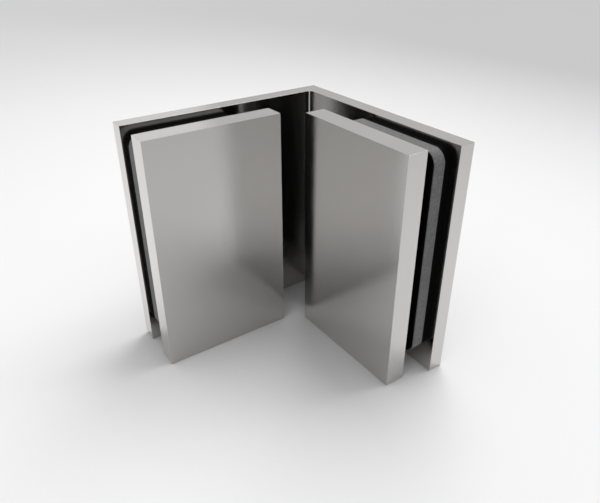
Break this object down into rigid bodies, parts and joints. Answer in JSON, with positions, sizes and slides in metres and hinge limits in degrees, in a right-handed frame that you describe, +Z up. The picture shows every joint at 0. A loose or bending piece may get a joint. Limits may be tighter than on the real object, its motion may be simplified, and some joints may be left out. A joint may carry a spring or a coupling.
{
  "type": "glass corner connector",
  "caption": "Right-angled connector for glass panels: an outer angle plate and flat inner clamp plates with rubber-faced pads, drawn together by screws from outside.",
  "frame": {"origin": "centre of the object's box in plan, on the surface that it stands on", "axes": "+Z up along the plates; the right arm of the angle runs along +X with its outer face towards +Y, and the left arm runs along -Y with its outer face towards -X"},
  "size_m": [0.085, 0.085, 0.09],
  "materials": {
    "satin_steel": "satin",
    "screw_steel": "turned",
    "black_rubber": "matt",
    "grey_plastic": "fine grain",
    "nylon": "moulded"
  },
  "bodies": {
    "frame": {"angle_plate": "satin_steel", "left_backing": "black_rubber", "right_backing": "black_rubber", "left_spacer": "grey_plastic", "right_spacer": "grey_plastic", "left_spacer_gasket": "black_rubber", "right_spacer_gasket": "black_rubber", "left_upper_sleeve": "nylon", "left_lower_sleeve": "nylon", "right_upper_sleeve": "nylon", "right_lower_sleeve": "nylon"},
    "left_clamp": {"left_clamp_plate": "satin_steel", "left_plate_gasket": "black_rubber"},
    "right_clamp": {"right_clamp_plate": "satin_steel", "right_plate_gasket": "black_rubber"},
    "left_upper_screw_body": {"left_upper_screw": "screw_steel"},
    "left_lower_screw_body": {"left_lower_screw": "screw_steel"},
    "right_upper_screw_body": {"right_upper_screw": "screw_steel"},
    "right_lower_screw_body": {"right_lower_screw": "screw_steel"}
  },
  "joints": [
    {"name": "left_clamp_slide", "type": "slide", "parent": "frame", "child": "left_clamp", "axis": [1, 0, 0], "range_m": [0, 0.0024]},
    {"name": "right_clamp_slide", "type": "slide", "parent": "frame", "child": "right_clamp", "axis": [0, -1, 0], "range_m": [0, 0.0024]},
    {"name": "left_upper_screw_turn", "type": "hinge", "parent": "frame", "child": "left_upper_screw_body", "pos_m": [-0.0425, -0.0213, 0.07], "axis": [1, 0, 0], "range_deg": [-864, 0]},
    {"name": "left_lower_screw_turn", "type": "hinge", "parent": "frame", "child": "left_lower_screw_body", "pos_m": [-0.0425, -0.0213, 0.02], "axis": [1, 0, 0], "range_deg": [-864, 0]},
    {"name": "right_upper_screw_turn", "type": "hinge", "parent": "frame", "child": "right_upper_screw_body", "pos_m": [0.0196, 0.0425, 0.07], "axis": [0, -1, 0], "range_deg": [-864, 0]},
    {"name": "right_lower_screw_turn", "type": "hinge", "parent": "frame", "child": "right_lower_screw_body", "pos_m": [0.0196, 0.0425, 0.02], "axis": [0, -1, 0], "range_deg": [-864, 0]}
  ],
  "couplings": [
    {"joint": "left_upper_screw_turn", "follows": "left_clamp_slide", "rad_per_m": -6283.2},
    {"joint": "left_lower_screw_turn", "follows": "left_clamp_slide", "rad_per_m": -6283.2},
    {"joint": "right_upper_screw_turn", "follows": "right_clamp_slide", "rad_per_m": -6283.2},
    {"joint": "right_lower_screw_turn", "follows": "right_clamp_slide", "rad_per_m": -6283.2}
  ]
}
